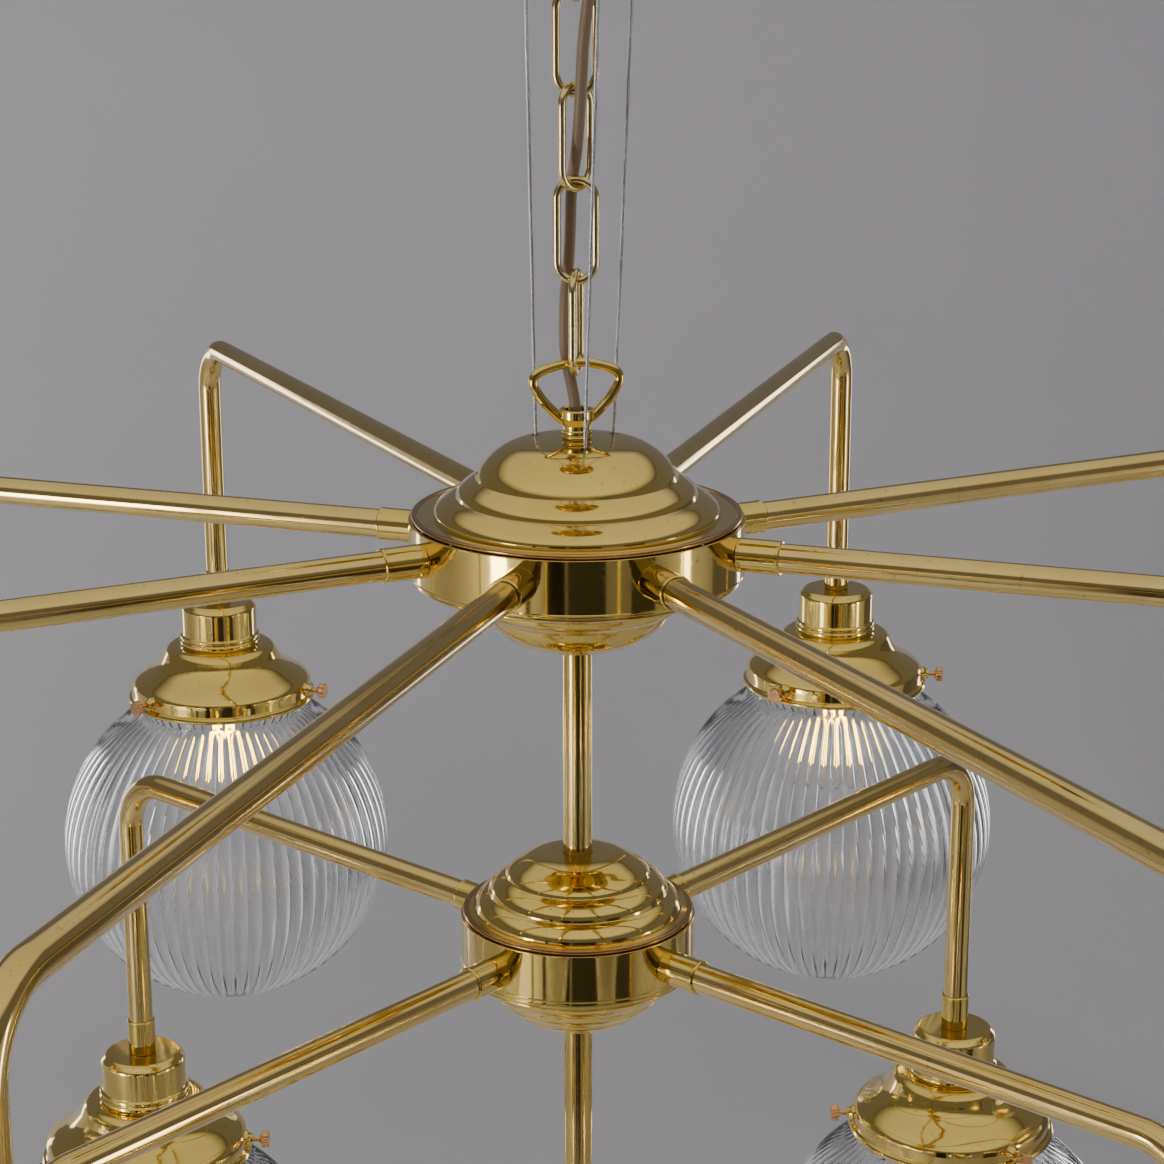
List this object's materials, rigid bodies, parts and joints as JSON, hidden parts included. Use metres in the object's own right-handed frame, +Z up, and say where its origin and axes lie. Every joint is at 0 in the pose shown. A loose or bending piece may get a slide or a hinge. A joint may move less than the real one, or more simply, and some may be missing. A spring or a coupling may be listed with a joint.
{
  "type": "chandelier",
  "caption": "Two-tier polished brass chandelier hung on a chain and safety wires, with ribbed clear glass globes below right-angled tubular arms.",
  "frame": {"origin": "middle of the top face of the ceiling plate, on the ceiling", "axes": "+Z up out of the plate into the ceiling; -Y is the front, and two upper arms straddle it"},
  "size_m": [1.1146, 1.1146, 0.891],
  "materials": {
    "polished_brass": "lacquered mirror polish",
    "clear_glass": "clear, moulded with fine vertical ribs",
    "wire_rope": "twisted bare steel strands",
    "flex_braid": "brown satin braid",
    "zinc_steel": "zinc plated",
    "pale_plastic": "moulded"
  },
  "bodies": {
    "ceiling_fitting": {"ceiling_plate": "zinc_steel", "ceiling_rose": "polished_brass", "ceiling_hook": "polished_brass", "flex_bush": "pale_plastic"},
    "chain": {"chain_link_1": "polished_brass", "chain_link_2": "polished_brass", "chain_link_3": "polished_brass", "chain_link_4": "polished_brass", "flex": "flex_braid"},
    "chandelier": {"suspension_loop": "polished_brass", "upper_cap": "polished_brass", "upper_hub_band": "polished_brass", "upper_bowl": "polished_brass", "centre_stem": "polished_brass", "lower_cap": "polished_brass", "lower_hub_band": "polished_brass", "lower_bowl": "polished_brass", "lower_stem": "polished_brass", "upper_arm_1": "polished_brass", "upper_arm_2": "polished_brass", "upper_arm_3": "polished_brass", "upper_arm_4": "polished_brass", "upper_arm_5": "polished_brass", "upper_arm_6": "polished_brass", "upper_arm_7": "polished_brass", "upper_arm_8": "polished_brass", "lower_arm_1": "polished_brass", "lower_arm_2": "polished_brass", "lower_arm_3": "polished_brass", "lower_arm_4": "polished_brass", "gallery_upper_1": "polished_brass", "gallery_upper_2": "polished_brass", "gallery_upper_3": "polished_brass", "gallery_upper_4": "polished_brass", "gallery_upper_5": "polished_brass", "gallery_upper_6": "polished_brass", "gallery_upper_7": "polished_brass", "gallery_upper_8": "polished_brass", "gallery_lower_1": "polished_brass", "gallery_lower_2": "polished_brass", "gallery_lower_3": "polished_brass", "gallery_lower_4": "polished_brass", "gallery_centre": "polished_brass"},
    "wire_1": {"safety_wire_1": "wire_rope"},
    "wire_2": {"safety_wire_2": "wire_rope"},
    "wire_3": {"safety_wire_3": "wire_rope"},
    "shade_upper_1": {"globe_upper_1": "clear_glass"},
    "shade_upper_2": {"globe_upper_2": "clear_glass"},
    "shade_upper_3": {"globe_upper_3": "clear_glass"},
    "shade_upper_4": {"globe_upper_4": "clear_glass"},
    "shade_upper_5": {"globe_upper_5": "clear_glass"},
    "shade_upper_6": {"globe_upper_6": "clear_glass"},
    "shade_upper_7": {"globe_upper_7": "clear_glass"},
    "shade_upper_8": {"globe_upper_8": "clear_glass"},
    "shade_lower_1": {"globe_lower_1": "clear_glass"},
    "shade_lower_2": {"globe_lower_2": "clear_glass"},
    "shade_lower_3": {"globe_lower_3": "clear_glass"},
    "shade_lower_4": {"globe_lower_4": "clear_glass"},
    "shade_centre": {"globe_centre": "clear_glass"}
  },
  "joints": [
    {"name": "chain_swing", "type": "hinge", "parent": "ceiling_fitting", "child": "chain", "pos_m": [0, 0, -0.0645], "axis": [0, 1, 0], "range_deg": [-4, 4], "deforming": ["flex"]},
    {"name": "chandelier_level", "type": "hinge", "parent": "chain", "child": "chandelier", "pos_m": [0, 0, -0.21875], "axis": [0, 1, 0], "range_deg": [-4.1, 4.1], "deforming": ["flex"]},
    {"name": "wire_1_swing", "type": "hinge", "parent": "ceiling_fitting", "child": "wire_1", "pos_m": [-0.0204, 0.0115, -0.0295], "axis": [0, 1, 0], "range_deg": [-2.9, 2.9]},
    {"name": "wire_2_swing", "type": "hinge", "parent": "ceiling_fitting", "child": "wire_2", "pos_m": [0.0255, 0.0105, -0.0295], "axis": [0, 1, 0], "range_deg": [-2.9, 2.9]},
    {"name": "wire_3_swing", "type": "hinge", "parent": "ceiling_fitting", "child": "wire_3", "pos_m": [0.0088, -0.0225, -0.0295], "axis": [0, 1, 0], "range_deg": [-2.9, 2.9]},
    {"name": "shade_upper_1_drop", "type": "slide", "parent": "chandelier", "child": "shade_upper_1", "axis": [0, 0, -1], "range_m": [0, 0.03]},
    {"name": "shade_upper_2_drop", "type": "slide", "parent": "chandelier", "child": "shade_upper_2", "axis": [0, 0, -1], "range_m": [0, 0.03]},
    {"name": "shade_upper_3_drop", "type": "slide", "parent": "chandelier", "child": "shade_upper_3", "axis": [0, 0, -1], "range_m": [0, 0.03]},
    {"name": "shade_upper_4_drop", "type": "slide", "parent": "chandelier", "child": "shade_upper_4", "axis": [0, 0, -1], "range_m": [0, 0.03]},
    {"name": "shade_upper_5_drop", "type": "slide", "parent": "chandelier", "child": "shade_upper_5", "axis": [0, 0, -1], "range_m": [0, 0.03]},
    {"name": "shade_upper_6_drop", "type": "slide", "parent": "chandelier", "child": "shade_upper_6", "axis": [0, 0, -1], "range_m": [0, 0.03]},
    {"name": "shade_upper_7_drop", "type": "slide", "parent": "chandelier", "child": "shade_upper_7", "axis": [0, 0, -1], "range_m": [0, 0.03]},
    {"name": "shade_upper_8_drop", "type": "slide", "parent": "chandelier", "child": "shade_upper_8", "axis": [0, 0, -1], "range_m": [0, 0.03]},
    {"name": "shade_lower_1_drop", "type": "slide", "parent": "chandelier", "child": "shade_lower_1", "axis": [0, 0, -1], "range_m": [0, 0.03]},
    {"name": "shade_lower_2_drop", "type": "slide", "parent": "chandelier", "child": "shade_lower_2", "axis": [0, 0, -1], "range_m": [0, 0.03]},
    {"name": "shade_lower_3_drop", "type": "slide", "parent": "chandelier", "child": "shade_lower_3", "axis": [0, 0, -1], "range_m": [0, 0.03]},
    {"name": "shade_lower_4_drop", "type": "slide", "parent": "chandelier", "child": "shade_lower_4", "axis": [0, 0, -1], "range_m": [0, 0.03]},
    {"name": "shade_centre_drop", "type": "slide", "parent": "chandelier", "child": "shade_centre", "axis": [0, 0, -1], "range_m": [0, 0.03]}
  ],
  "couplings": [
    {"joint": "chandelier_level", "follows": "chain_swing", "ratio": -1},
    {"joint": "wire_1_swing", "follows": "chain_swing", "ratio": 0.6989},
    {"joint": "wire_2_swing", "follows": "chain_swing", "ratio": 0.6989},
    {"joint": "wire_3_swing", "follows": "chain_swing", "ratio": 0.6989}
  ]
}
